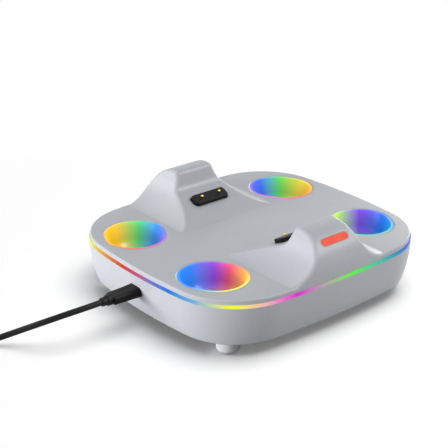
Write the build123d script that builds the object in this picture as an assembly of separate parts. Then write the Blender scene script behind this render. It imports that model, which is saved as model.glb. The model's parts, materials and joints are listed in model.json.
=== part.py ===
"""Charging dock for two game controllers, with its plugged-in cable.

The origin is on the surface that the dock stands on, under the middle of its body. +X runs along
the long side, +Y to the back and +Z up. The charging cable leaves the -X side.
"""

from build123d import *
import os
from math import atan2, cos, degrees, radians, sin, sqrt, tan

# Plan of the dock: bowed sides joined by tangent corner arcs, measured at the light band
length = 177.0
width = 162.0
corner_radius = 43.3
end_bow = 1.9
side_bow = 1.7

# Heights of the layers, from the surface upwards
foot_height = 7.4
base_depth = 25.3
band_height = 1.95
rim_height = 2.8
hump_rise = 23.9

# Shell walls and edges
wall = 2.4
hull_radius = 76.0
bottom_round = 2.0
rim_inset = 0.7
rim_round = 0.9
tongue_inset = 1.2
tongue_width = 0.8
tongue_height = 1.1

# Clearances
slip = 0.05
loose = 0.2

# Humps: a barrel nose at the front, scooped flanks, a lip and a sloping seat behind it. A margin is
# the distance in from the side of the plan, or from its end where the name says so
nose_radius = 21.0
crest = 4.0
lip_lean = 18.0
lip_round = 3.0
lip_root = 5.0
seat_slope = 23.0
seat_margin = 59.0
flank_radius = 28.0
flank_sink = 0.5
hump_half_width = 14.3
hump_edge_round = 2.4

# Wells for the grips of the controllers
well_gap = 1.45
well_margin = 43.3
well_length = 42.3
well_width = 37.8
well_turn = 28.0
well_depth = 16.5
cup_rim = 1.5
cup_wall = 1.6
cup_taper = 16.0
cup_floor_round = 9.0
flange_width = 1.2
flange_thickness = 1.4

# Feet
foot_end_margin = 22.9
foot_side_margin = 23.9
foot_radius = 7.4
foot_taper = 0.8
foot_round = 3.4
stud_radius = 2.5
stud_barb = 0.8
stud_tip = 2.0

# Case screws and the bosses that they join
screw_x = 36.0
screw_margin = 17.0
boss_height = 14.1
base_boss_radius = 4.6
lid_boss_radius = 3.75
screw_radius = 1.45
screw_bite = 8.0
screw_head_radius = 2.8
screw_head_height = 2.0
screw_head_sink = 1.0
screw_slot = 0.7
screw_slot_share = 1.4
screw_end_gap = 0.5

# Light strip behind the band
strip_inset = 4.2
strip_thickness = 0.2
strip_height = 5.5
lamp_count = 24
lamp_size = 3.0
lamp_thickness = 1.4
lamp_height = 2.0
rib_width = 2.0
rib_height = 6.0

# Lamp boards under the wells
board_thickness = 1.6
lamp_board_length = 26.0
lamp_board_width = 20.0
lamp_board_lift = 2.0
well_lamp_size = 5.0
well_lamp_height = 1.6
well_lamp_x = 4.5
well_lamp_y = 5.5
peg_radius = 1.2
peg_post_radius = 2.4
peg_y = 10.5

# Charging socket in the -X wall, a USB-C receptacle, and its board
port_drop = 9.75
socket_width = 8.94
socket_height = 3.26
socket_length = 7.4
socket_wall = 0.3
tongue_plate_width = 6.69
tongue_plate_thickness = 0.7
tongue_plate_length = 4.6
port_recess = 1.0
main_board_length = 58.0
main_board_width = 26.0
main_board_setback = 2.6
main_post_radius = 2.8
main_post_inset_x = 4.5
main_post_inset_y = 3.0
main_board_round = 1.1
board_screw_radius = 0.95
board_screw_length = 7.0
board_screw_head_radius = 2.0
board_screw_head_height = 1.4
chips_setback = 8.0

# Chips, coils and lead sockets on the main board: place along and across it, then their sizes
chips = [
    (0.0, -4.0, 5.0, 5.0, 1.0),
    (0.0, 5.0, 6.0, 6.0, 3.0),
    (12.0, 0.0, 7.0, 7.0, 1.2),
    (22.0, -5.0, 6.0, 6.0, 3.0),
    (22.0, 5.0, 4.0, 8.0, 4.5),
]

# Contact heads on the seats, with their sprung pins
contact_margin = 41.0
head_length = 26.0
head_width = 8.0
head_proud = 2.6
head_round = 2.0
head_flange = 1.5
contact_boss_height = 4.0
contact_boss_radius = 2.8
contact_boss_x = 18.0
contact_board_length = 42.0
contact_board_width = 11.0
pin_spacing = 14.0
pin_radius = 0.9
pin_shoulder_radius = 1.15
pin_shoulder_length = 2.0
pin_proud = 1.9
pin_tip_round = 0.6
barrel_radius = 1.6
barrel_top = 1.8
barrel_lip = 0.5
barrel_floor = 1.0

# Indicator bars in the noses
bar_length = 20.2
bar_height = 4.35
bar_angle = 42.4
bar_proud = 0.2
bar_flange = 1.2
bar_flange_thickness = 1.2
bar_leg_radius = 1.2
bar_leg_length = 5.0
bar_peg_radius = 0.8
bar_board_length = 27.0
bar_board_width = 5.6
bar_board_thickness = 1.2
bar_board_round = 1.0
bar_lamp_x = 6.0
bar_lamp_size = 3.0
bar_lamp_height = 1.5

# Cable plug in the socket
plug_shell_width = 8.25
plug_shell_height = 2.4
plug_shell_wall = 0.3
plug_reach = 6.4
plug_length = 18.8
plug_width = 11.0
plug_height = 6.2
plug_round = 2.2
plug_taper = 0.6
relief_radius = 3.3
relief_length = 3.2
relief_tip_radius = 2.6
relief_tip_length = 3.4
relief_round = 0.6

# Cord: its route as the distance beyond the strain relief, the distance to the back and the share
# of the port's height that is left, down to the surface and on to a tied coil
cord_diameter = 3.6
cord_route = [
    (0.0, 0.0, 1.0),
    (9.5, 0.0, 1.0),
    (18.75, 2.24, 0.9466),
    (27.02, 6.34, 0.8328),
    (33.89, 12.02, 0.6724),
    (39.14, 18.84, 0.4779),
    (45.85, 26.37, 0.2637),
    (55.27, 32.5, 0.091),
    (66.44, 35.83, 0.0),
    (75.44, 35.83, 0.0),
]
coil_columns = 3
coil_layers = 2
coil_middle_radius = 21.0
coil_stub = 15.0
bend_share = 0.45
tie_width = 11.0
tie_thickness = 1.2

# Far plug of the cable, a USB-A plug
far_relief_length = 8.0
far_length = 31.0
far_width = 15.6
far_height = 7.8
far_round = 2.4
far_shell_width = 12.0
far_shell_height = 4.5
far_shell_length = 18.0
far_shell_wall = 0.4
far_window = 2.2
far_window_spacing = 5.8
far_window_setback = 6.5
far_tongue_thickness = 1.8
far_tongue_setback = 0.6
tail_straight = 6.0
tail_slope_run = 8.0
tail_sway = 1.2

# Levels and places that follow from the sizes above
half_length = length / 2
half_width = width / 2
cord_radius = cord_diameter / 2
strip_reach = strip_inset + strip_thickness
well_x = half_length - strip_reach - well_gap - flange_width - well_length / 2
well_y = half_width - well_margin
foot_x = half_length - foot_end_margin
foot_y = half_width - foot_side_margin
screw_y = half_width - screw_margin
contact_y = half_width - contact_margin
seat_foot = half_width - seat_margin
z_base = foot_height
z_floor = z_base + wall
z_band = z_base + base_depth
z_lid = z_band + band_height
z_plateau = z_lid + rim_height
z_hump = z_plateau + hump_rise
z_under = z_plateau - wall
split_height = z_base + boss_height
port_height = z_band - port_drop
slope = radians(seat_slope)
lean = radians(lip_lean)
corner_signs = {
    "front_left": (-1, -1),
    "front_right": (1, -1),
    "rear_left": (-1, 1),
    "rear_right": (1, 1),
}
ends = {"front": Rot(0, 0, 0), "rear": Rot(0, 0, 180)}


def bowed_radius(across, bow):
    """Radius of a bowed side that is tangent to the corner arcs at both ends."""
    reach = corner_radius + bow
    return (across**2 + reach**2 - corner_radius**2) / (2 * bow)


corner_x = half_length - corner_radius - end_bow
corner_y = half_width - corner_radius - side_bow
side_radius = bowed_radius(corner_x, side_bow)
end_radius = bowed_radius(corner_y, end_bow)
side_swing = degrees(atan2(corner_x, side_radius - corner_radius - side_bow))
end_swing = degrees(atan2(corner_y, end_radius - corner_radius - end_bow))


def outline(inset=0.0):
    """Plan of the dock as a face, moved inwards by inset."""
    end_centre = half_length - end_radius
    side_centre = half_width - side_radius
    sides = [
        (end_centre, 0, end_radius, end_swing),
        (0, side_centre, side_radius, side_swing),
        (-end_centre, 0, end_radius, end_swing),
        (0, -side_centre, side_radius, side_swing),
    ]
    corners = [(1, 1), (-1, 1), (-1, -1), (1, -1)]
    edges = []
    for turn in range(4):
        x, y, radius, swing = sides[turn]
        next_swing = sides[(turn + 1) % 4][3]
        sign_x, sign_y = corners[turn]
        facing = 90 * turn
        middle = (sign_x * corner_x, sign_y * corner_y)
        edges.append(CenterArc((x, y), radius - inset, facing - swing, 2 * swing))
        sweep_angle = 90 - swing - next_swing
        edges.append(CenterArc(middle, corner_radius - inset, facing + swing, sweep_angle))
    return Face(Wire(edges))


def prism(face, bottom, top):
    """A face of the XY plane, extruded from one height to another."""
    return extrude(Pos(0, 0, bottom) * face, amount=top - bottom, dir=(0, 0, 1))


def ring(outer_inset, inner_inset, bottom, top):
    """A band that follows the plan outline."""
    return prism(outline(outer_inset), bottom, top) - prism(outline(inner_inset), bottom, top)


def post(x, y, radius, bottom, top):
    """An upright round post."""
    middle = (bottom + top) / 2
    return Pos(x, y, middle) * Cylinder(radius, top - bottom)


def rounded_bar(size_x, size_y, bottom, top, radius):
    """A block with rounded upright edges, centred on the origin."""
    return prism(RectangleRounded(size_x, size_y, radius), bottom, top)


def near(shape, x, y):
    """The corners of a flat face that lie at a point."""
    return [v for v in shape.vertices() if abs(v.X - x) < 1e-4 and abs(v.Y - y) < 1e-4]


def along_outline(inset, share):
    """Place on the outline: x along the wall, y inwards, z up."""
    path = outline(inset).outer_wire()
    return Plane(origin=path @ share, x_dir=path % share, z_dir=(0, 0, 1)).location


def four(shape):
    """Copies of a shape in the front left corner, mirrored to all four corners."""
    half = [shape, mirror(shape, about=Plane.YZ)]
    return half + [mirror(piece, about=Plane.XZ) for piece in half]


def hull_inset(height, inside=0.0):
    """How far the base wall has curved inwards at a height."""
    drop = z_band - height
    return hull_radius - sqrt((hull_radius - inside) ** 2 - drop**2)


def base_wall_section():
    """Section of the base wall and the edge of its floor, x inwards as negative."""
    outer_foot = hull_inset(z_base)
    inner_foot = hull_inset(z_floor, wall)
    floor_end = outer_foot + 3 * wall
    middle = (z_band + z_base) / 2
    edges = [
        ThreePointArc((0, z_band), (-hull_inset(middle), middle), (-outer_foot, z_base)),
        Line((-outer_foot, z_base), (-floor_end, z_base)),
        Line((-floor_end, z_base), (-floor_end, z_floor)),
        Line((-floor_end, z_floor), (-inner_foot, z_floor)),
        ThreePointArc((-inner_foot, z_floor), (-hull_inset(middle, wall), middle), (-wall, z_band)),
        Line((-wall, z_band), (0, z_band)),
    ]
    section = Face(Wire(edges))
    return fillet(near(section, -outer_foot, z_base), bottom_round)


def plug_outline(clearance=0.0):
    """Cross section of the cable plug's housing, which seats in the port recess."""
    size = (plug_width + 2 * clearance, plug_height + 2 * clearance)
    return RectangleRounded(*size, plug_round + clearance)


def pill(size_x, size_y):
    """A flat bar with round ends."""
    return SlotOverall(size_x, size_y)


# The port looks along -X: local x runs along -Y and local y up
x_port = -(half_length - hull_inset(port_height) - port_recess)
port_plane = Plane(origin=(x_port, 0, port_height), x_dir=(0, -1, 0), z_dir=(-1, 0, 0))


def base_shell():
    """Hull with its floor, bosses, ribs, posts and the port opening."""
    path = outline().outer_wire()
    start = path % 0
    outwards = start.cross(Vector(0, 0, 1))
    section_plane = Plane(origin=path @ 0, x_dir=outwards, z_dir=-start)
    shell = sweep(section_plane * base_wall_section(), path=path)
    shell += prism(outline(hull_inset(z_base) + 2 * wall), z_base, z_floor)

    for share in range(lamp_count):
        rib = Box(rib_width, strip_inset - wall / 2, rib_height)
        middle = z_band - tongue_height - rib_height / 2 - loose
        place = along_outline(wall / 2, (share + 0.5) / lamp_count)
        reach = (strip_inset - wall / 2) / 2
        shell += place * Pos(0, reach, middle) * rib

    boss = post(-screw_x, -screw_y, base_boss_radius, z_base, split_height)
    shank_hole = post(-screw_x, -screw_y, screw_radius + loose, z_base, split_height)
    head_top = z_base + screw_head_sink + screw_head_height
    head_hole = post(-screw_x, -screw_y, screw_head_radius + loose, z_base, head_top)
    for piece in four(boss):
        shell += piece
    for hole in four(shank_hole) + four(head_hole):
        shell -= hole

    for stud in four(post(-foot_x, -foot_y, stud_radius + slip, z_base, z_floor)):
        shell -= stud

    board_bottom = z_floor + lamp_board_lift
    for sign in (-1, 1):
        y = -well_y + sign * peg_y
        stand = post(-well_x, y, peg_post_radius, z_base + wall / 2, board_bottom)
        peg = post(-well_x, y, peg_radius, board_bottom, board_bottom + board_thickness + peg_radius)
        for piece in four(stand + peg):
            shell += piece

    for x, y in main_post_places():
        shell += post(x, y, main_post_radius, z_base + wall / 2, main_board_bottom())
        shell -= post(x, y, board_screw_radius + slip, z_floor, main_board_bottom())

    groove = tongue_width + 2 * slip
    outer = tongue_inset - slip
    shell -= ring(outer, outer + groove, z_band - tongue_height - loose, z_band)
    shell -= extrude(port_plane * plug_outline(loose), amount=3 * wall)
    mouth = RectangleRounded(
        socket_width + 2 * slip, socket_height + 2 * slip, socket_height / 2
    )
    shell -= extrude(port_plane * mouth, amount=-2 * wall)
    return shell


def main_board_bottom():
    """Underside of the main board, which carries the socket at the port's height."""
    return port_height - socket_height / 2 - board_thickness


def main_post_places():
    """Centres of the posts under the main board."""
    first = x_port + main_board_setback + main_post_inset_x + socket_length / 2
    last = x_port + main_board_setback + main_board_length - main_post_inset_x
    side = main_board_width / 2 - main_post_inset_y
    return [(x, y) for x in (first, last) for y in (-side, side)]


def hump_section(inset):
    """Side profile of the front hump: nose, crest, lip and seat, x as Y and y as Z."""
    front = -(half_width - rim_inset) + inset
    top = z_hump - inset
    nose = nose_radius - inset
    lip_y = front + nose + crest - inset / cos(lean) + inset * tan(lean)
    seat_z = z_plateau - inset / cos(slope)
    drop = (top - seat_z + seat_foot * tan(slope)) * tan(lean)
    root_y = (lip_y + drop) / (1 - tan(slope) * tan(lean))
    root_z = seat_z - (root_y + seat_foot) * tan(slope)
    low = split_height + inset
    end_z = z_under - wall
    end_y = -seat_foot + (seat_z - end_z) / tan(slope)
    edges = [
        Line((front, low), (front, top - nose)),
        CenterArc((front + nose, top - nose), nose, 90, 90),
        Line((front + nose, top), (lip_y, top)),
        Line((lip_y, top), (root_y, root_z)),
        Line((root_y, root_z), (end_y, end_z)),
        Line((end_y, end_z), (end_y, low)),
        Line((end_y, low), (front, low)),
    ]
    section = Face(Wire(edges))
    section = fillet(near(section, root_y, root_z), lip_root + inset)
    if inset < lip_round:
        section = fillet(near(section, lip_y, top), lip_round - inset)
    return section


def flank_section(inset):
    """Front view of a hump: two concave arcs that run out into the plateau."""
    middle_x = hump_half_width + flank_radius
    middle_z = z_plateau - flank_sink + flank_radius
    radius = flank_radius + inset
    low = split_height
    edges = [
        Line((middle_x, low), (middle_x, middle_z - radius)),
        CenterArc((middle_x, middle_z), radius, 180, 90),
        Line((middle_x - radius, middle_z), (radius - middle_x, middle_z)),
        CenterArc((-middle_x, middle_z), radius, 270, 90),
        Line((-middle_x, middle_z - radius), (-middle_x, low)),
        Line((-middle_x, low), (middle_x, low)),
    ]
    return Face(Wire(edges))


def hump(inset=0.0):
    """Form of the front hump, moved inwards by inset. The nose follows the bowed side."""
    axis = Axis((0, side_radius - half_width, 0), (0, 0, 1))
    reach = 2 * degrees(atan2(hump_half_width + flank_radius, side_radius - half_width))
    profile = revolve(Plane.YZ * hump_section(inset), axis, 2 * reach)
    profile = profile.rotate(axis, -reach)
    flanks = extrude(Plane.XZ * flank_section(inset), amount=width)
    return profile & flanks


def rounded_hump():
    """Front hump above the plate of the lid, with its flank edges rounded."""
    bottom = (z_lid + z_plateau) / 2
    form = hump() & Pos(0, 0, bottom + z_hump / 2) * Box(length, 2 * width, z_hump)
    edges = []
    for face in form.faces().filter_by(GeomType.CYLINDER):
        if abs(face.radius - flank_radius) < slip:
            edges += [e for e in face.edges() if e.bounding_box().size.X > slip]
    return fillet(edges, hump_edge_round)


# Frames of the front seat and of the front indicator bar
seat_height = z_plateau + (contact_y - seat_foot) * tan(slope)
seat_plane = Plane(
    origin=(0, -contact_y, seat_height), x_dir=(1, 0, 0), z_dir=(0, sin(slope), cos(slope))
)
bar_tilt = radians(bar_angle)
nose_y = -(half_width - rim_inset - nose_radius)
nose_z = z_hump - nose_radius
bar_plane = Plane(
    origin=(0, nose_y - nose_radius * sin(bar_tilt), nose_z + nose_radius * cos(bar_tilt)),
    x_dir=(1, 0, 0),
    z_dir=(0, -sin(bar_tilt), cos(bar_tilt)),
)
contact_board_top = -(wall + contact_boss_height)


def well_face(inset=0.0):
    """Oval of the front left well, moved inwards by inset."""
    size = (well_length - 2 * inset, well_width - 2 * inset)
    return SlotOverall(*size, rotation=90 + well_turn)


def top_shell():
    """Lid: plateau with its rim, two humps, well openings, seats and screw bosses."""
    plate = prism(outline(rim_inset), z_lid, z_plateau)
    top_edges = [e for e in plate.edges() if abs(e.center().Z - z_plateau) < slip]
    shell = fillet(top_edges, rim_round)
    front_hump = rounded_hump()
    hollow = hump(wall)
    for turn in ends.values():
        shell += turn * front_hump
    shell += prism(outline(wall + loose), z_under, (z_lid + z_plateau) / 2)
    shell -= prism(outline(wall + loose), z_lid - wall, z_under)
    tongue = ring(tongue_inset, tongue_inset + tongue_width, z_lid - tongue_height, z_lid)
    shell += tongue
    for turn in ends.values():
        shell -= turn * hollow

    for boss in four(post(-screw_x, -screw_y, lid_boss_radius, split_height, z_under + wall / 2)):
        shell += boss
    pilot_top = split_height + screw_bite + screw_end_gap
    for hole in four(post(-screw_x, -screw_y, screw_radius + slip, split_height, pilot_top)):
        shell -= hole

    opening = prism(well_face(-slip), z_under - wall, z_plateau + wall)
    for hole in four(Pos(-well_x, -well_y) * opening):
        shell -= hole

    for turn in ends.values():
        for sign in (-1, 1):
            local = Pos(sign * contact_boss_x, 0)
            boss = local * post(0, 0, contact_boss_radius, contact_board_top, -wall / 2)
            pilot = local * post(0, 0, board_screw_radius + slip, contact_board_top, -wall)
            shell += turn * seat_plane.location * boss
            shell -= turn * seat_plane.location * pilot
        slot = rounded_bar(
            head_length + 2 * loose, head_width + 2 * loose, -2 * wall, wall, head_round
        )
        shell -= turn * seat_plane.location * slot
        bar_hole = prism(pill(bar_length + 2 * slip, bar_height + 2 * slip), -2 * wall, wall)
        shell -= turn * bar_plane.location * bar_hole
    return shell


def light_band():
    """Translucent ring between the shells, with a tongue below and a groove above."""
    band = ring(0, wall, z_band, z_lid)
    band += ring(tongue_inset, tongue_inset + tongue_width, z_band - tongue_height, z_band)
    groove = tongue_width + 2 * slip
    outer = tongue_inset - slip
    return band - ring(outer, outer + groove, z_lid - tongue_height - slip, z_lid)


def well_cup():
    """Translucent bowl whose rim is flush with the plateau, with a flange below the lid."""
    down = (0, 0, -1)
    body = extrude(well_face(), amount=well_depth + cup_wall, dir=down, taper=cup_taper)
    body_floor = body.faces().sort_by(Axis.Z)[0]
    body = fillet(body_floor.edges(), cup_floor_round + cup_wall)
    hollow = extrude(well_face(cup_rim), amount=well_depth, dir=down, taper=cup_taper)
    hollow_floor = hollow.faces().sort_by(Axis.Z)[0]
    hollow = fillet(hollow_floor.edges(), cup_floor_round)
    collar = prism(well_face(), -wall - flange_thickness, 0)
    flange = prism(well_face(-flange_width), -wall - flange_thickness, -wall)
    return Pos(0, 0, z_plateau) * (body + collar + flange - hollow)


def light_strip():
    """Flexible strip behind the band, on the ribs of the base."""
    top = z_under - loose
    return ring(strip_inset, strip_reach, top - strip_height, top)


def band_lamps():
    """Lamps on the strip, between its ribs."""
    lamps = []
    middle = z_under - loose - lamp_height / 2
    for share in range(lamp_count):
        place = along_outline(strip_inset, share / lamp_count)
        lamp = Box(lamp_size, lamp_thickness, lamp_height)
        lamps.append(place * Pos(0, -lamp_thickness / 2 - slip, middle) * lamp)
    return Compound(lamps)


def lamp_board():
    """Board under a well, on two pegs."""
    bottom = z_floor + lamp_board_lift
    board = rounded_bar(
        lamp_board_width, lamp_board_length, bottom, bottom + board_thickness, peg_post_radius
    )
    for sign in (-1, 1):
        hole = post(0, sign * peg_y, peg_radius + slip, bottom, bottom + board_thickness)
        board -= hole
    return board


def well_lamps():
    """Four lamps on each board under the wells."""
    bottom = z_floor + lamp_board_lift + board_thickness
    lamps = []
    for corner_x_sign, corner_y_sign in corner_signs.values():
        for sign_x in (-1, 1):
            for sign_y in (-1, 1):
                x = corner_x_sign * well_x + sign_x * well_lamp_x
                y = corner_y_sign * well_y + sign_y * well_lamp_y
                lamp = Box(well_lamp_size, well_lamp_size, well_lamp_height)
                lamps.append(Pos(x, y, bottom + well_lamp_height / 2) * lamp)
    return Compound(lamps)


def foot():
    """Rubber foot with a rounded edge and a barbed stud through the floor."""
    tip = z_floor + stud_tip
    points = [
        (0, 0),
        (foot_radius - foot_taper, 0),
        (foot_radius, z_base),
        (stud_radius, z_base),
        (stud_radius, z_floor),
        (stud_radius + stud_barb, z_floor),
        (stud_radius, tip),
        (0, tip),
    ]
    section = Face(Wire(Polyline(*points, close=True)))
    section = fillet(near(section, foot_radius - foot_taper, 0), foot_round)
    return revolve(Plane.XZ * section, Axis.Z)


def screw(radius, bite, head_radius, head_height):
    """Pan head screw pointing up, its head below the origin, with a cross recess."""
    body = post(0, 0, radius, 0, bite)
    head = post(0, 0, head_radius, -head_height, 0)
    for turn in (0, 90):
        slot = Box(screw_slot_share * head_radius, screw_slot, head_height)
        head -= Pos(0, 0, -head_height) * Rot(0, 0, turn) * slot
    return body + head


def case_screws():
    """Four screws from below, through the base bosses into the lid bosses."""
    seat = z_base + screw_head_sink + screw_head_height
    bite = split_height + screw_bite - seat
    one = screw(screw_radius, bite, screw_head_radius, screw_head_height)
    return Compound(
        [Pos(x * screw_x, y * screw_y, seat) * one for x, y in corner_signs.values()]
    )


def socket_shell():
    """Steel tube of the receptacle, closed at its back, open to the port."""
    outer = RectangleRounded(socket_width, socket_height, socket_height / 2 - slip)
    inner_height = socket_height - 2 * socket_wall
    inner = RectangleRounded(socket_width - 2 * socket_wall, inner_height, inner_height / 2 - slip)
    tube = extrude(port_plane * outer, amount=-socket_length)
    return tube - extrude(port_plane * inner, amount=-(socket_length - socket_wall))


def socket_tongue():
    """Contact tongue in the middle of the receptacle."""
    start = socket_length - socket_wall
    face = Rectangle(tongue_plate_width, tongue_plate_thickness)
    back = Pos(0, 0, -start) * face
    return port_plane.location * extrude(back, amount=tongue_plate_length, dir=(0, 0, 1))


def main_board():
    """Board on four posts, with the receptacle on its edge."""
    bottom = main_board_bottom()
    middle = x_port + main_board_setback + main_board_length / 2
    board = rounded_bar(main_board_length, main_board_width, 0, board_thickness, main_board_round)
    board = Pos(middle, 0, bottom) * board
    for x, y in main_post_places():
        board -= post(x, y, board_screw_radius + loose, bottom, bottom + board_thickness)
    return board


def board_chips():
    """Charging chips, coils and lead sockets on the main board."""
    top = main_board_bottom() + board_thickness
    first = x_port + main_board_setback + socket_length + chips_setback
    return Compound(
        [Pos(first + x, y, top + tall / 2) * Box(long, wide, tall) for x, y, long, wide, tall in chips]
    )


def board_screws():
    """Screws of the main board and of the two contact boards."""
    head = (board_screw_head_radius, board_screw_head_height)
    one = screw(board_screw_radius, board_screw_length, *head)
    top = main_board_bottom() + board_thickness
    screws = [Pos(x, y, top) * Rot(180, 0, 0) * one for x, y in main_post_places()]
    short = screw(board_screw_radius, board_thickness + contact_boss_height - screw_end_gap, *head)
    under = contact_board_top - board_thickness
    for turn in ends.values():
        for sign in (-1, 1):
            place = turn * seat_plane.location * Pos(sign * contact_boss_x, 0, under)
            screws.append(place * short)
    return Compound(screws)


def contact_head():
    """Block that carries the pins up through the seat."""
    block = rounded_bar(head_length, head_width, contact_board_top, head_proud, head_round)
    block = fillet(block.faces().sort_by(Axis.Z)[-1].edges(), head_round / 3)
    flange_top = -wall - loose
    size = (head_length + 2 * head_flange, head_width + 2 * head_flange)
    block += rounded_bar(*size, flange_top - head_flange, flange_top, head_round)
    for sign in (-1, 1):
        x = sign * pin_spacing / 2
        block -= post(x, 0, barrel_radius + slip, contact_board_top, barrel_top)
        block -= post(x, 0, pin_radius + slip, barrel_top, head_proud)
    return seat_plane.location * block


def contact_board():
    """Board below the seat, screwed to the two bosses."""
    bottom = contact_board_top - board_thickness
    board = rounded_bar(
        contact_board_length, contact_board_width, bottom, contact_board_top, head_round
    )
    for sign in (-1, 1):
        x = sign * contact_boss_x
        board -= post(x, 0, board_screw_radius + loose, bottom, contact_board_top)
    return seat_plane.location * board


def pin_barrels():
    """Two brass barrels, closed below, with a lip that holds the pin in."""
    barrels = []
    for sign in (-1, 1):
        x = sign * pin_spacing / 2
        barrel = post(x, 0, barrel_radius, contact_board_top, barrel_top)
        bore_bottom = contact_board_top + barrel_floor
        bore_top = barrel_top - barrel_lip
        barrel -= post(x, 0, pin_shoulder_radius + slip, bore_bottom, bore_top)
        barrel -= post(x, 0, pin_radius + slip, bore_top, barrel_top)
        barrels.append(seat_plane.location * barrel)
    return Compound(barrels)


def contact_pin(sign):
    """Sprung pin with a domed tip and a shoulder inside its barrel."""
    x = sign * pin_spacing / 2
    shoulder_top = barrel_top - barrel_lip
    tip = head_proud + pin_proud
    stem = post(x, 0, pin_radius, shoulder_top, tip)
    stem = fillet(stem.edges().sort_by(Axis.Z)[-1], pin_tip_round)
    bottom = shoulder_top - pin_shoulder_length
    return seat_plane.location * (stem + post(x, 0, pin_shoulder_radius, bottom, shoulder_top))


def bar_leg_place(sign):
    """Place of a leg of the indicator bar along its length."""
    return sign * (bar_length - bar_leg_radius) / 2


def nose_layer(outer, inner):
    """Layer of the nose between two depths below its surface."""
    layer = Cylinder(nose_radius - outer, length) - Cylinder(nose_radius - inner, length)
    return Pos(0, nose_y, nose_z) * Rot(0, 90, 0) * layer


def indicator_lens():
    """Coloured bar that follows the nose, with a flange and two legs behind the wall."""
    bar = bar_plane.location * prism(pill(bar_length, bar_height), -2 * wall, wall)
    flange_face = pill(bar_length + 2 * bar_flange, bar_height + 2 * bar_flange)
    flange = bar_plane.location * prism(flange_face, -4 * wall, wall)
    flange_outer = wall + loose
    flange_inner = flange_outer + bar_flange_thickness
    lens = bar & nose_layer(-bar_proud, flange_inner)
    lens += flange & nose_layer(flange_outer, flange_inner)
    leg_end = indicator_board_top()
    for sign in (-1, 1):
        x = bar_leg_place(sign)
        leg = post(x, 0, bar_leg_radius, leg_end, -flange_outer - bar_flange_thickness / 2)
        peg = post(x, 0, bar_peg_radius, leg_end - bar_board_thickness, leg_end)
        lens += bar_plane.location * (leg + peg)
    return lens


def indicator_board_top():
    """Height of the indicator board below the nose surface."""
    return -(wall + loose + bar_flange_thickness + bar_leg_length)


def indicator_board():
    """Small board on the legs of the indicator bar."""
    top = indicator_board_top()
    bottom = top - bar_board_thickness
    board = rounded_bar(bar_board_length, bar_board_width, bottom, top, bar_board_round)
    for sign in (-1, 1):
        board -= post(bar_leg_place(sign), 0, bar_peg_radius + slip, bottom, top)
    return bar_plane.location * board


def indicator_lamps():
    """Lamps behind both indicator bars."""
    lamps = []
    middle = indicator_board_top() + bar_lamp_height / 2
    for turn in ends.values():
        for sign in (-1, 1):
            place = turn * bar_plane.location * Pos(sign * bar_lamp_x, 0, middle)
            lamps.append(place * Box(bar_lamp_size, bar_lamp_size, bar_lamp_height))
    return Compound(lamps)


def plug_shell():
    """Steel tube of the plug, inside the receptacle."""
    outer = RectangleRounded(plug_shell_width, plug_shell_height, plug_shell_height / 2 - slip)
    inner_height = plug_shell_height - 2 * plug_shell_wall
    inner_width = plug_shell_width - 2 * plug_shell_wall
    inner = RectangleRounded(inner_width, inner_height, inner_height / 2 - slip)
    tube = extrude(port_plane * outer, amount=-plug_reach)
    return tube - extrude(port_plane * inner, amount=-plug_reach)


def plug_housing():
    """Moulded grip of the plug, slightly narrower towards the cord."""
    rear = RectangleRounded(
        plug_width - 2 * plug_taper, plug_height - 2 * plug_taper, plug_round - plug_taper
    )
    grip = loft([port_plane * plug_outline(), port_plane.offset(plug_length) * rear])
    rear_edges = grip.faces().sort_by(Axis.X)[0].edges()
    return fillet(rear_edges, plug_taper)


x_cord = x_port - plug_length - relief_length - relief_tip_length


def collar(radius, bottom, top):
    """A round collar whose far edge is rounded."""
    one = post(0, 0, radius, bottom, top)
    return fillet(one.edges().sort_by(Axis.Z)[-1], relief_round)


def strain_relief():
    """Two stepped collars between the plug and the cord."""
    tip_end = relief_length + relief_tip_length
    sleeve = collar(relief_radius, 0, relief_length)
    sleeve += collar(relief_tip_radius, 0, tip_end)
    return port_plane.offset(plug_length).location * sleeve


def bend_radii(points):
    """Largest arc that the two runs at each corner of a route allow."""
    radii = []
    for before, corner, after in zip(points, points[1:], points[2:]):
        run_in = Vector(*corner) - Vector(*before)
        run_out = Vector(*after) - Vector(*corner)
        half_turn = radians(run_in.get_angle(run_out)) / 2
        radii.append(bend_share * min(run_in.length, run_out.length) / tan(half_turn))
    return radii


def cord_tube(points):
    """Round tube along straight runs joined by tangent arcs."""
    radii = bend_radii(points)
    path = FilletPolyline(*points, radius=radii).wire()
    face = Plane(origin=path @ 0, z_dir=path % 0) * Circle(cord_radius)
    return sweep(face, path=path)


cord_points = []
for beyond, back, share in cord_route:
    height = cord_radius + share * (port_height - cord_radius)
    cord_points.append((x_cord - beyond, back, height))
coil_pitch = cord_diameter
coil_outer_turn = coil_middle_radius + (coil_columns - 1) / 2 * coil_pitch
coil_x = cord_points[-1][0] - coil_stub
coil_y = cord_points[-1][1] + coil_outer_turn
coil_top = coil_layers * cord_diameter
tail_height = coil_top - cord_radius


def coil_ring(gap=0.0):
    """Outer shape of the turns of the coil, grown by a gap."""
    across = (coil_columns - 1) / 2 * coil_pitch + cord_radius + gap
    outer = post(coil_x, coil_y, coil_middle_radius + across, -gap, coil_top + gap)
    inner = post(coil_x, coil_y, coil_middle_radius - across, -gap, coil_top + gap)
    return outer - inner


def cord_coil():
    """Outer shape of the coiled cord, with the two straight stubs that enter it."""
    body = coil_ring()
    entry = Plane(origin=(coil_x, cord_points[-1][1], cord_radius), z_dir=(1, 0, 0))
    body += extrude(entry * Circle(cord_radius - slip), amount=coil_stub)
    leave = Plane(origin=(coil_x - coil_outer_turn, coil_y, tail_height), z_dir=(0, 1, 0))
    return body + extrude(leave * Circle(cord_radius - slip), amount=coil_stub)


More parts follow.
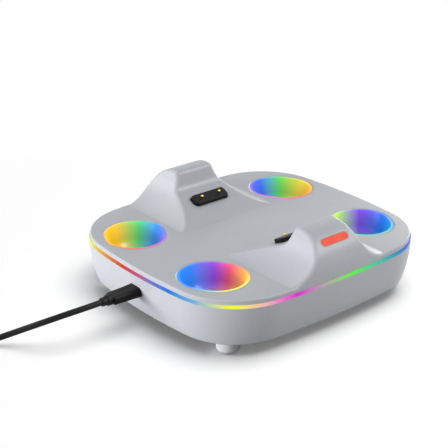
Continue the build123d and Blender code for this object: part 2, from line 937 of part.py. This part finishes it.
def cord_tie():
    """Strap round the turns of the coil."""
    radial = coil_columns * coil_pitch + 2 * loose
    outside = RectangleRounded(
        radial + 2 * tie_thickness, coil_top + tie_thickness, cord_radius + tie_thickness
    )
    place = Plane(
        origin=(coil_x, coil_y + coil_middle_radius, coil_top / 2), x_dir=(0, 1, 0), z_dir=(1, 0, 0)
    )
    lift = Pos(0, tie_thickness / 2)
    strap = extrude(place * (lift * outside), amount=tie_width / 2, both=True)
    return strap - coil_ring(loose)


tail_x = coil_x - coil_outer_turn
tail_y = coil_y + coil_stub
far_middle = far_height / 2
tail_points = [
    (tail_x, tail_y, tail_height),
    (tail_x, tail_y + tail_straight, tail_height),
    (tail_x - tail_sway, tail_y + tail_straight + tail_slope_run, far_middle),
    (tail_x - tail_sway, tail_y + 2 * tail_straight + tail_slope_run, far_middle),
]
far_plane = Plane(origin=tail_points[-1], x_dir=(1, 0, 0), z_dir=(0, 1, 0))


def far_relief():
    """Tapered sleeve behind the far plug."""
    wide = far_plane.offset(far_relief_length) * Circle(relief_radius)
    return loft([far_plane * Circle(relief_tip_radius), wide])


def far_housing():
    """Moulded grip of the far plug."""
    start = far_plane.offset(far_relief_length)
    grip = extrude(start * RectangleRounded(far_width, far_height, far_round), amount=far_length)
    ends_of_grip = grip.faces().sort_by(Axis.Y)
    return fillet(ends_of_grip[0].edges() + ends_of_grip[-1].edges(), far_round / 2)


def far_shell():
    """Steel tube of the far plug, with a pair of square windows above and below."""
    start = far_plane.offset(far_relief_length + far_length)
    outer = RectangleRounded(far_shell_width, far_shell_height, far_shell_wall)
    inner = Rectangle(far_shell_width - 2 * far_shell_wall, far_shell_height - 2 * far_shell_wall)
    shell = extrude(start * outer, amount=far_shell_length)
    shell -= extrude(start * inner, amount=far_shell_length)
    for sign in (-1, 1):
        place = Pos(sign * far_window_spacing / 2, 0, far_shell_length - far_window_setback)
        shell -= start.location * place * Box(far_window, 2 * far_shell_height, far_window)
    return shell


def far_tongue():
    """Contact tongue in the lower half of the far plug."""
    start = far_plane.offset(far_relief_length + far_length)
    inner_height = far_shell_height - 2 * far_shell_wall
    face = Rectangle(far_shell_width - 2 * far_shell_wall - 2 * slip, far_tongue_thickness)
    seat = Pos(0, far_tongue_side() * (inner_height - far_tongue_thickness) / 2)
    return extrude(start * (seat * face), amount=far_shell_length - far_tongue_setback)


def far_tongue_side():
    """The side of the far plug's frame that points down."""
    return 1 if far_plane.y_dir.Z < 0 else -1


nodes = {
    "base_shell": base_shell(),
    "top_shell": top_shell(),
    "light_band": light_band(),
    "light_strip": light_strip(),
    "band_lamps": band_lamps(),
    "well_lamps": well_lamps(),
    "case_screws": case_screws(),
    "usb_socket_shell": socket_shell(),
    "usb_socket_tongue": socket_tongue(),
    "main_board": main_board(),
    "board_chips": board_chips(),
    "board_screws": board_screws(),
    "indicator_lamps": indicator_lamps(),
    "plug_shell": plug_shell(),
    "plug_housing": plug_housing(),
    "strain_relief": strain_relief(),
    "cord": cord_tube(cord_points),
    "cord_coil": cord_coil(),
    "cord_tie": cord_tie(),
    "cord_tail": cord_tube(tail_points),
    "far_plug_relief": far_relief(),
    "far_plug_housing": far_housing(),
    "far_plug_shell": far_shell(),
    "far_plug_tongue": far_tongue(),
}

cups = four(Pos(-well_x, -well_y) * well_cup())
for (corner, (sign_x, sign_y)), cup in zip(corner_signs.items(), cups):
    nodes["well_cup_" + corner] = cup
    nodes["lamp_board_" + corner] = Pos(sign_x * well_x, sign_y * well_y) * lamp_board()
    nodes["foot_" + corner] = Pos(sign_x * foot_x, sign_y * foot_y) * foot()

for end, turn in ends.items():
    nodes["contact_head_" + end] = turn * contact_head()
    nodes["contact_board_" + end] = turn * contact_board()
    nodes["pin_barrels_" + end] = turn * pin_barrels()
    nodes["contact_pin_" + end + "_left"] = turn * contact_pin(-1 if end == "front" else 1)
    nodes["contact_pin_" + end + "_right"] = turn * contact_pin(1 if end == "front" else -1)
    nodes["indicator_lens_" + end] = turn * indicator_lens()
    nodes["indicator_board_" + end] = turn * indicator_board()

os.makedirs("parts", exist_ok=True)
for name, shape in nodes.items():
    export_step(shape, "parts/" + name + ".step")
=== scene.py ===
import json
from math import cos, pi, radians, sin, tau

import bpy
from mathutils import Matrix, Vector


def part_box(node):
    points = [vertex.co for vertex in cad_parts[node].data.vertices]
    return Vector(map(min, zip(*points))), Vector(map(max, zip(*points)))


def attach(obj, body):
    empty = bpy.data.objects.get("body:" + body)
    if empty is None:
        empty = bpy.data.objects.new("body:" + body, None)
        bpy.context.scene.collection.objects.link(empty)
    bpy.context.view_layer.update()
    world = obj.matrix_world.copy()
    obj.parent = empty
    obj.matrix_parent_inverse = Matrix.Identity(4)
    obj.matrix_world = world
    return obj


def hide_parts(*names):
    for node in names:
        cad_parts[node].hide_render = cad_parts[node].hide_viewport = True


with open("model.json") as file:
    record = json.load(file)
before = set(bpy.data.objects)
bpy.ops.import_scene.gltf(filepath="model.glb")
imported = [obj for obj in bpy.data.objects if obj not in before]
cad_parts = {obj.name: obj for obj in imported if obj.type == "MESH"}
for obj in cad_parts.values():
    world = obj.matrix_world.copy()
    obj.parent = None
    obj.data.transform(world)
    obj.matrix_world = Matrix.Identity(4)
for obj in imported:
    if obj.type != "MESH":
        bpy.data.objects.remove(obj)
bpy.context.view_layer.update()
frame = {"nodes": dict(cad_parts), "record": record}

# The dock stands on the floor at z = 0, in metres, with its cable leaving towards -X
record = frame["record"]
nodes = frame["nodes"]
mm = 0.001

# Camera at the photograph's place, which looks down on the front left corner
camera_place = (-0.44811, -0.51194, 0.33964)
camera_tilt = 66.24
camera_heading = -39.84
camera_lens = 96.43

# Cord, with the same route as the solid: distance beyond the strain relief, distance to the back,
# and share of the port's height that is left
cord_diameter = 3.6 * mm
cord_route = [
    (0.0, 0.0, 1.0),
    (9.5, 0.0, 1.0),
    (18.75, 2.24, 0.9466),
    (27.02, 6.34, 0.8328),
    (33.89, 12.02, 0.6724),
    (39.14, 18.84, 0.4779),
    (45.85, 26.37, 0.2637),
    (55.27, 32.5, 0.091),
    (66.44, 35.83, 0.0),
    (75.44, 35.83, 0.0),
]

# Turns of the coil: turns since its start, then the column from the middle and the layer
coil_middle_radius = 21.0 * mm
coil_points_per_turn = 16
coil_stages = [
    (0.0, 1, 0),
    (0.80, 1, 0),
    (0.97, 0, 0),
    (1.80, 0, 0),
    (1.97, -1, 0),
    (2.40, -1, 0),
    (2.60, -1, 1),
    (3.22, -1, 1),
    (3.42, 0, 1),
    (4.22, 0, 1),
    (4.42, 1, 1),
    (5.25, 1, 1),
]
tail_straight = 6.0 * mm
tail_slope_run = 8.0 * mm


def add_camera():
    """The camera that the render uses."""
    data = bpy.data.cameras.new("camera")
    data.lens = camera_lens
    camera = bpy.data.objects.new("camera", data)
    camera.location = camera_place
    camera.rotation_euler = (radians(camera_tilt), 0, radians(camera_heading))
    bpy.context.scene.collection.objects.link(camera)
    bpy.context.scene.camera = camera


def middle_of(node):
    """Centre of a node's box."""
    low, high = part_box(node)
    return (low + high) / 2


def coil_state(turns):
    """Column and layer of the coil after a number of turns."""
    for before, after in zip(coil_stages, coil_stages[1:]):
        if turns <= after[0]:
            share = (turns - before[0]) / (after[0] - before[0])
            return [a + share * (b - a) for a, b in zip(before[1:], after[1:])]
    return list(coil_stages[-1][1:])


def cord_points():
    """Control points of the cord: down from the plug, round the coil and on to the far plug."""
    radius = cord_diameter / 2
    housing = middle_of("plug_housing")
    start = Vector((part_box("strain_relief")[0].x, housing.y, housing.z))
    drop = start.z - radius
    points = []
    for beyond, back, share in cord_route:
        points.append((start.x - beyond * mm, start.y + back * mm, radius + share * drop))

    centre = middle_of("cord_coil")
    reach = 1 / cos(pi / coil_points_per_turn)
    steps = round(coil_stages[-1][0] * coil_points_per_turn)
    for step in range(steps):
        turns = (step + 0.5) / coil_points_per_turn
        column, layer = coil_state(turns)
        across = reach * (coil_middle_radius + column * cord_diameter)
        angle = -pi / 2 - tau * turns
        height = radius + layer * cord_diameter
        points.append((centre.x + across * cos(angle), centre.y + across * sin(angle), height))

    far = middle_of("far_plug_relief")
    far_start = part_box("far_plug_relief")[0].y
    tail_x = centre.x - coil_middle_radius - cord_diameter
    tail_z = radius + cord_diameter
    tail_y = far_start - 2 * tail_straight - tail_slope_run
    points.append((tail_x, tail_y, tail_z))
    points.append((tail_x, tail_y + tail_straight, tail_z))
    points.append((far.x, far_start - tail_straight, far.z))
    points.append((far.x, far_start, far.z))
    return points


def add_cord():
    """The cord as one smooth curve."""
    points = cord_points()
    curve = bpy.data.curves.new("cord_line", "CURVE")
    curve.dimensions = "3D"
    curve.bevel_depth = 1.0
    curve.bevel_resolution = 6
    curve.resolution_u = 8
    curve.use_fill_caps = True
    spline = curve.splines.new("NURBS")
    spline.points.add(len(points) - 1)
    for control, place in zip(spline.points, points):
        control.co = (*place, 1)
        control.radius = cord_diameter / 2
    spline.order_u = 3
    spline.use_endpoint_u = True
    cord = bpy.data.objects.new("cord_line", curve)
    bpy.context.scene.collection.objects.link(cord)
    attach(cord, "dock")
    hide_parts("cord", "cord_coil", "cord_tail")
    on_cord = ["plug_shell", "plug_housing", "strain_relief", "cord_tie"]
    on_cord += ["far_plug_relief", "far_plug_housing", "far_plug_shell", "far_plug_tongue"]
    return cord


# Rounding that the shell's edges are shaded with: full up to rim_start, none beyond rim_end
shell_edge_round = 2.6 * mm
edge_samples = 8
rim_power = 4.0
rim_start = 0.75
rim_end = 0.84

# Moulded plastic and rubber: size of the clouds of tone and of the patches of gloss
cloud_size = 30 * mm
gloss_patch = 4 * mm
gloss_spread = 0.05

# Moulded finishes: colour, roughness, size and depth of the grain, strength of the clouds, gloss
shell_levels = ((166, 169, 174), 0.38, 0.35 * mm, 0.02 * mm, 0.02, 0.45)
plain_finishes = {
    "foot_rubber": ((188, 189, 193), 0.72, 0.5 * mm, 0.04 * mm, 0.05, 0.5),
    "strip_white": ((232, 232, 228), 0.5, 0.4 * mm, 0.01 * mm, 0.05, 0.5),
    "black_plastic": ((15, 15, 16), 0.45, 0.3 * mm, 0.02 * mm, 0.15, 0.15),
    "white_plastic": ((230, 230, 230), 0.45, 0.4 * mm, 0.01 * mm, 0.05, 0.5),
    "cord_black": ((14, 14, 15), 0.5, 0.25 * mm, 0.02 * mm, 0.15, 0.2),
}

# Lit finishes: strength of the glow, share of black in the surface under it, gloss
band_glow = (0.93, 0.96, 0.1)
well_glow = (0.8, 0.7, 0.5)
indicator_glow = (0.85, 0.9, 0.15)
black = (0.0, 0.0, 0.0, 1.0)

# Pale middle of a well: its share, and where it starts to fade and ends as shares of the radius
core_share = 0.75
core_start = 0.05
core_end = 0.7

# Brightness of a well by height, from its floor to its rim, as screen values
well_levels = [(0.0, 222), (0.5, 205), (0.9, 240), (1.0, 255)]
well_corners = {
    "well_blue": "front_left",
    "well_green": "front_right",
    "well_amber": "rear_left",
    "well_violet": "rear_right",
}


def linear(colour):
    """A colour written as 0 to 255 screen values, as the shader's linear values."""
    out = []
    for value in colour:
        share = value / 255
        out.append(share / 12.92 if share <= 0.04045 else ((share + 0.055) / 1.055) ** 2.4)
    return (*out, 1.0)


class Finish:
    """A material with one surface shader, built up from its nodes."""

    def __init__(self, name):
        self.material = bpy.data.materials.new(name)
        self.material.use_nodes = True
        self.tree = self.material.node_tree
        self.shader = self.tree.nodes["Principled BSDF"]
        self.place = self.add("TexCoord").outputs["Object"]

    def add(self, kind, links=(), **settings):
        """A new node; links gives the sources of its inputs, in order."""
        node = self.tree.nodes.new("ShaderNode" + kind)
        for key, value in settings.items():
            if key in node.inputs:
                node.inputs[key].default_value = value
            else:
                setattr(node, key, value)
        for index, source in enumerate(links):
            if source is not None:
                self.connect(source, node.inputs[index])
        return node

    def connect(self, source, target):
        """Joins an output to an input, or sets the input where the source is a plain number."""
        if isinstance(source, (int, float)):
            target.default_value = source
        else:
            self.tree.links.new(source, target)

    def math(self, operation, *sources):
        """Result of a sum of one or two values."""
        return self.add("Math", sources, operation=operation).outputs[0]

    def noise(self, size, detail=2.0, stretch=None):
        """Noise whose lumps are about a given size across, from 0 to 1."""
        place = self.place
        if stretch:
            mapping = self.add("Mapping", [place])
            mapping.inputs["Scale"].default_value = stretch
            place = mapping.outputs[0]
        node = self.add("TexNoise", Scale=1 / size, Detail=detail)
        self.connect(place, node.inputs["Vector"])
        return node.outputs["Fac"]

    def spread(self, source, low, high, start=0.0, end=1.0):
        """A value from start to end, moved to run from low to high."""
        node = self.add("MapRange")
        self.connect(source, node.inputs["Value"])
        limits = {"From Min": start, "From Max": end, "To Min": low, "To Max": high}
        for key, value in limits.items():
            node.inputs[key].default_value = value
        return node.outputs["Result"]

    def ramp(self, source, stops):
        """A colour ramp; the stops are pairs of place and colour."""
        node = self.add("ValToRGB", [source])
        elements = node.color_ramp.elements
        while len(elements) < len(stops):
            elements.new(1.0)
        for element, (place, colour) in zip(elements, stops):
            element.position = place
            element.color = colour
        return node.outputs["Color"]

    def mix(self, first, second, factor, blend="MIX"):
        """Two colours mixed by a factor."""
        node = self.add("Mix", data_type="RGBA", blend_type=blend)
        self.connect(factor, node.inputs["Factor"])
        for source, name in ((first, "A"), (second, "B")):
            socket = [s for s in node.inputs if s.name == name and s.type == "RGBA"][0]
            if isinstance(source, tuple):
                socket.default_value = source
            else:
                self.tree.links.new(source, socket)
        return [s for s in node.outputs if s.type == "RGBA"][0]

    def colour(self, source):
        self.connect(source, self.shader.inputs["Base Color"])

    def rough(self, source):
        self.connect(source, self.shader.inputs["Roughness"])

    def bump(self, height, distance, edge_round=None):
        """Fine relief from a height, over edges that catch the light as if rounded."""
        node = self.add("Bump", Distance=distance)
        self.connect(height, node.inputs["Height"])
        if edge_round:
            rounded = self.add("Bevel", [edge_round], samples=edge_samples)
            self.tree.links.new(rounded.outputs["Normal"], node.inputs["Normal"])
        self.tree.links.new(node.outputs["Normal"], self.shader.inputs["Normal"])


def shaded(colour, amount):
    """A colour made lighter or darker."""
    return (*[min(1.0, value * amount) for value in colour[:3]], 1.0)


def moulded(name, colour, roughness, grain, depth, tone, gloss, edge_round=None):
    """Moulded plastic or rubber: faint clouds of tone, uneven gloss and a fine grain."""
    finish = Finish(name)
    finish.shader.inputs["Specular IOR Level"].default_value = gloss
    base = linear(colour)
    clouds = finish.noise(cloud_size, detail=3.0)
    stops = [(0.3, shaded(base, 1 - tone)), (0.7, shaded(base, 1 + tone))]
    finish.colour(finish.ramp(clouds, stops))
    patches = finish.noise(gloss_patch)
    finish.rough(finish.spread(patches, roughness - gloss_spread, roughness + gloss_spread))
    finish.bump(finish.noise(grain, detail=4.0), depth, edge_round and edge_round(finish))
    return finish.material


def shell_rounding(finish):
    """Radius by which the shell's edges catch the light as if rounded: none at the outer rim."""
    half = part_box("top_shell")[1]
    parts = finish.add("SeparateXYZ", [finish.place])
    outward = 0.0
    for axis in range(2):
        share = finish.math("ABSOLUTE", finish.math("DIVIDE", parts.outputs[axis], half[axis]))
        outward = finish.math("ADD", finish.math("POWER", share, rim_power), outward)
    return finish.spread(outward, shell_edge_round, 0.0, rim_start, rim_end)


def finish_shell():
    """Satin grey plastic with soft edges."""
    return moulded("shell_grey", *shell_levels, edge_round=shell_rounding)


def turn_angle(finish, centre, half_x, half_y):
    """Angle round a centre as a share of a turn, from 0 at -X by the front to 1."""
    parts = finish.add("SeparateXYZ", [finish.place])
    x = finish.math("DIVIDE", finish.math("SUBTRACT", parts.outputs[0], centre[0]), half_x)
    y = finish.math("DIVIDE", finish.math("SUBTRACT", parts.outputs[1], centre[1]), half_y)
    angle = finish.math("ARCTAN2", y, x)
    return finish.spread(angle, 0.0, 1.0, -pi, pi)


def radius_share(finish, centre, half):
    """Distance from an upright axis, as a share of a half width."""
    offset = finish.add("VectorMath", [finish.place], operation="SUBTRACT")
    offset.inputs[1].default_value = centre
    flat = finish.add("VectorMath", [offset.outputs[0]], operation="MULTIPLY")
    flat.inputs[1].default_value = (1, 1, 0)
    length = finish.add("VectorMath", [flat.outputs[0]], operation="LENGTH").outputs["Value"]
    return finish.math("DIVIDE", length, half)


def pale_mean(lamps):
    """What lamps of several colours give together: their mean, half way to white."""
    colours = [linear(colour) for angle, colour in lamps]
    return tuple(0.5 + 0.5 * sum(values) / len(values) for values in zip(*colours))


def glow_stops(lamps):
    """Ramp stops from lamp colours by angle in degrees, closed round the full turn."""
    ordered = sorted((((angle + 180) % 360) / 360, linear(colour)) for angle, colour in lamps)
    first_place, first = ordered[0]
    last_place, last = ordered[-1]
    gap = first_place + 1 - last_place
    share = (1 - last_place) / gap
    seam = tuple(a + share * (b - a) for a, b in zip(last, first))
    return [(0.0, seam)] + ordered + [(1.0, seam)]


# Colours of the lamps behind the band, by the angle round the dock: 180 is the left side and 270
# the front
band_colours = [
    (0, (255, 96, 40)),
    (28, (240, 220, 60)),
    (56, (110, 235, 80)),
    (85, (40, 150, 235)),
    (112, (190, 60, 215)),
    (130, (120, 220, 120)),
    (147, (226, 228, 50)),
    (159, (222, 136, 36)),
    (172, (212, 40, 10)),
    (183, (190, 80, 130)),
    (189, (128, 116, 195)),
    (201, (4, 122, 226)),
    (213, (116, 176, 222)),
    (226, (246, 252, 50)),
    (236, (246, 186, 180)),
    (243, (238, 108, 206)),
    (249, (222, 20, 210)),
    (277, (84, 240, 52)),
    (291, (60, 190, 170)),
    (305, (8, 98, 206)),
    (330, (140, 70, 230)),
]
well_colours = {
    "well_blue": [
        (95, (0, 132, 255)), (190, (30, 146, 250)), (225, (150, 215, 180)), (255, (236, 250, 70)),
        (300, (250, 226, 90)), (340, (255, 170, 60)), (15, (240, 80, 110)), (50, (150, 70, 220)),
    ],
    "well_amber": [
        (95, (255, 205, 0)), (180, (252, 176, 20)), (225, (250, 90, 70)), (285, (190, 90, 190)),
        (330, (110, 110, 240)), (10, (30, 140, 250)), (50, (90, 220, 120)),
    ],
    "well_green": [
        (100, (190, 240, 60)), (150, (110, 240, 80)), (225, (60, 220, 120)), (270, (30, 200, 170)),
        (320, (20, 150, 240)), (0, (10, 110, 245)), (50, (130, 70, 235)),
    ],
    "well_violet": [
        (95, (40, 110, 250)), (150, (120, 80, 240)), (210, (225, 60, 205)), (270, (250, 90, 90)),
        (320, (250, 180, 40)), (0, (240, 225, 50)), (50, (100, 230, 90)),
    ],
}


def light_up(finish, hue, lit, levels):
    """Lets a finish glow in its lit colour, over a darker surface of its hue."""
    strength, darkness, gloss = levels
    finish.connect(lit, finish.shader.inputs["Emission Color"])
    finish.shader.inputs["Emission Strength"].default_value = strength
    finish.shader.inputs["Specular IOR Level"].default_value = gloss
    finish.colour(finish.mix(hue, black, darkness))


def finish_band():
    """Lit translucent ring: the lamps' colours run into each other along it."""
    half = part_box("light_band")[1]
    finish = Finish("band_light")
    turn = turn_angle(finish, (0, 0), half.x, half.y)
    hue = finish.ramp(turn, glow_stops(band_colours))
    light_up(finish, hue, hue, band_glow)
    finish.rough(finish.spread(finish.noise(6 * mm), 0.22, 0.34))
    finish.bump(finish.noise(2 * mm), 0.01 * mm)
    return finish.material


def finish_well(slot, corner):
    """Lit translucent bowl: bright rim, colours that run round it and meet in a pale middle."""
    low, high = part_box("well_cup_" + corner)
    centre = (low + high) / 2
    finish = Finish(slot)
    turn = turn_angle(finish, centre, 1.0, 1.0)
    hue = finish.ramp(turn, glow_stops(well_colours[slot]))
    out = radius_share(finish, centre, (high.x - low.x) / 2)
    core = finish.spread(out, core_share, 0.0, core_start, core_end)
    hue = finish.mix(hue, pale_mean(well_colours[slot]), core)
    height = finish.add("SeparateXYZ", [finish.place]).outputs[2]
    level = finish.spread(height, 0.0, 1.0, low.z, high.z)
    glow = finish.ramp(level, [(place, linear((value,) * 3)) for place, value in well_levels])
    light_up(finish, hue, finish.mix(hue, glow, 1.0, blend="MULTIPLY"), well_glow)
    finish.rough(finish.spread(finish.noise(5 * mm), 0.25, 0.38))
    finish.bump(finish.noise(1.5 * mm), 0.01 * mm)
    return finish.material


def finish_indicator():
    """Evenly lit orange-red bar."""
    finish = Finish("indicator_red")
    clouds = finish.noise(8 * mm)
    hue = finish.ramp(clouds, [(0.3, linear((240, 84, 56))), (0.7, linear((252, 98, 68)))])
    light_up(finish, hue, hue, indicator_glow)
    finish.rough(finish.spread(finish.noise(3 * mm), 0.5, 0.6))
    finish.bump(finish.noise(0.5 * mm), 0.01 * mm)
    return finish.material


def finish_metal(name, colour, roughness, stretch):
    """Drawn metal: fine lines along one direction."""
    finish = Finish(name)
    base = linear(colour)
    lines = finish.noise(0.4 * mm, detail=3.0, stretch=stretch)
    finish.colour(finish.ramp(lines, [(0.25, shaded(base, 0.85)), (0.75, base)]))
    finish.rough(finish.spread(lines, roughness - 0.08, roughness + 0.08))
    finish.bump(lines, 0.004 * mm)
    finish.shader.inputs["Metallic"].default_value = 1.0
    return finish.material


def finish_board():
    """Circuit board: lacquered green with paler copper lines under it."""
    finish = Finish("board_green")
    cells = finish.add("TexVoronoi", Scale=1 / (2.2 * mm), feature="DISTANCE_TO_EDGE",
                       distance="MANHATTAN")
    finish.tree.links.new(finish.place, cells.inputs["Vector"])
    lines = finish.spread(cells.outputs["Distance"], 1.0, 0.0, 0.05, 0.09)
    finish.colour(finish.mix(linear((20, 92, 52)), linear((44, 128, 72)), lines))
    finish.rough(finish.spread(finish.noise(3 * mm), 0.28, 0.4))
    finish.bump(lines, 0.02 * mm)
    return finish.material


def finish_lamp():
    """Lamp package: white rim with a pale yellow window."""
    finish = Finish("lamp_white")
    spots = finish.noise(1.2 * mm, detail=1.0)
    stops = [(0.35, linear((246, 246, 240))), (0.65, linear((250, 236, 170)))]
    finish.colour(finish.ramp(spots, stops))
    finish.rough(finish.spread(spots, 0.2, 0.35))
    finish.bump(spots, 0.02 * mm)
    return finish.material


def finish_tie():
    """Woven hook and loop strap."""
    finish = Finish("tie_black")
    weave = finish.add("TexWave", Scale=1 / (4 * mm), Distortion=2.0, Detail=2.0)
    finish.tree.links.new(finish.place, weave.inputs["Vector"])
    fuzz = finish.noise(0.3 * mm, detail=5.0)
    both = finish.math("ADD", weave.outputs["Fac"], fuzz)
    finish.colour(finish.ramp(both, [(0.4, linear((22, 22, 24))), (1.0, linear((48, 48, 52)))]))
    finish.shader.inputs["Roughness"].default_value = 0.95
    finish.bump(both, 0.15 * mm)
    return finish.material


def make_finishes():
    """All materials, by the record's slot."""
    made = {name: moulded(name, *levels) for name, levels in plain_finishes.items()}
    made["shell_grey"] = finish_shell()
    made["band_light"] = finish_band()
    made["indicator_red"] = finish_indicator()
    made["lamp_white"] = finish_lamp()
    made["board_green"] = finish_board()
    made["tie_black"] = finish_tie()
    made["steel"] = finish_metal("steel", (205, 206, 210), 0.3, (1.0, 12.0, 12.0))
    made["brass"] = finish_metal("brass", (232, 192, 110), 0.26, (12.0, 12.0, 1.0))
    for slot, corner in well_corners.items():
        made[slot] = finish_well(slot, corner)
    return made


def dress(cord):
    """Gives every node and the cord the material of its slot."""
    finishes = make_finishes()
    for row in record["subparts"]:
        node = nodes[row["node"]]
        node.data.materials.clear()
        node.data.materials.append(finishes[row["material_slot"]])
    cord.data.materials.append(finishes["cord_black"])


# Lamps: place, width and height, and power in watts; each points at the middle of the dock
lamp_aim = (0, 0, 0.03)
overhead = (0.25, -0.2, 1.36)
lamp_rows = {
    "softbox": (overhead, (0.6, 0.6), 1.0),
    "floor_light": (overhead, (1.2, 1.2), 17.5),
    "front": ((0.64, -0.83, 0.94), (0.75, 0.75), 14.5),
    "key": ((-1.2, 0.3, 0.15), (0.6, 0.2), 17.5),
    "rim": ((-1.0, 0.75, 0.45), (1.0, 0.5), 6.0),
    "edge": ((1.25, 0.45, 0.35), (0.8, 0.4), 6.0),
}
lamps_off_floor = ("front", "key", "rim", "edge")
world_level = 0.24

# Floor: what is seen of it near the dock, what it throws back on the dock, its glow near the dock,
# and the distances between which it fades to plain white
floor_half_size = 4.0
floor_colour = (0.93, 0.93, 0.93, 1.0)
floor_bounce = (0.5, 0.5, 0.5, 1.0)
floor_lift = 0.12
floor_near = 0.15
floor_far = 0.34


def add_area(name, place, size, power):
    """A soft lamp, wide by high, that points at the dock."""
    data = bpy.data.lights.new(name, "AREA")
    data.shape = "RECTANGLE"
    data.size, data.size_y = size
    data.energy = power
    lamp = bpy.data.objects.new(name, data)
    lamp.location = place
    lamp.rotation_euler = (Vector(lamp_aim) - Vector(place)).to_track_quat("-Z", "Y").to_euler()
    bpy.context.scene.collection.objects.link(lamp)
    return lamp


def link_light(lamp, thing, state):
    """Lets a lamp light only one thing, with INCLUDE, or all but that thing, with EXCLUDE."""
    group = bpy.data.collections.new("linked_to_" + lamp.name)
    group.objects.link(thing)
    group.collection_objects[0].light_linking.link_state = state
    lamp.light_linking.receiver_collection = group


def seen_directly(tree):
    """1 for what the camera, a mirror or glass sees, 0 for light that falls on things."""
    path = tree.nodes.new("ShaderNodeLightPath")
    total = path.outputs["Is Camera Ray"]
    for name in ("Is Glossy Ray", "Is Transmission Ray"):
        either = tree.nodes.new("ShaderNodeMath")
        either.operation = "MAXIMUM"
        tree.links.new(total, either.inputs[0])
        tree.links.new(path.outputs[name], either.inputs[1])
        total = either.outputs[0]
    return total


def add_world():
    """White surroundings that light the dock at a plain level."""
    world = bpy.data.worlds.new("studio")
    bpy.context.scene.world = world
    world.use_nodes = True
    tree = world.node_tree
    background = tree.nodes["Background"]
    background.inputs["Color"].default_value = (1, 1, 1, 1)
    level = tree.nodes.new("ShaderNodeMapRange")
    tree.links.new(seen_directly(tree), level.inputs["Value"])
    level.inputs["To Min"].default_value = world_level
    level.inputs["To Max"].default_value = 1.0
    tree.links.new(level.outputs["Result"], background.inputs["Strength"])


def add_floor():
    """Plain pale floor that keeps the dock's shadow; what is seen of it is lifted to white."""
    mesh = bpy.data.meshes.new("floor")
    half = floor_half_size
    corners = [(-half, -half, 0), (half, -half, 0), (half, half, 0), (-half, half, 0)]
    mesh.from_pydata(corners, [], [(0, 1, 2, 3)])
    floor = bpy.data.objects.new("floor", mesh)
    bpy.context.scene.collection.objects.link(floor)
    finish = Finish("floor")
    distance = finish.add("VectorMath", [finish.place], operation="LENGTH").outputs["Value"]
    away = finish.spread(distance, 0.0, 1.0, floor_near, floor_far)
    seen = seen_directly(finish.tree)
    shown_colour = finish.ramp(away, [(0.0, floor_colour), (1.0, black)])
    finish.colour(finish.mix(floor_bounce, shown_colour, seen))
    finish.shader.inputs["Roughness"].default_value = 0.9
    finish.shader.inputs["Specular IOR Level"].default_value = 0.0
    finish.shader.inputs["Emission Color"].default_value = (1, 1, 1, 1)
    shown = finish.math("MULTIPLY", seen, finish.spread(away, floor_lift, 1.0))
    finish.connect(shown, finish.shader.inputs["Emission Strength"])
    mesh.materials.append(finish.material)
    return floor


add_camera()
cord = add_cord()
dress(cord)
add_world()
floor = add_floor()
lamps = {name: add_area(name, *row) for name, row in lamp_rows.items()}
link_light(lamps["floor_light"], floor, "INCLUDE")
for name in lamps_off_floor:
    link_light(lamps[name], floor, "EXCLUDE")
# The plateau would mirror the key lamp as a glare in views from other sides
lamps["key"].visible_glossy = False
bpy.context.scene.view_settings.view_transform = "Standard"
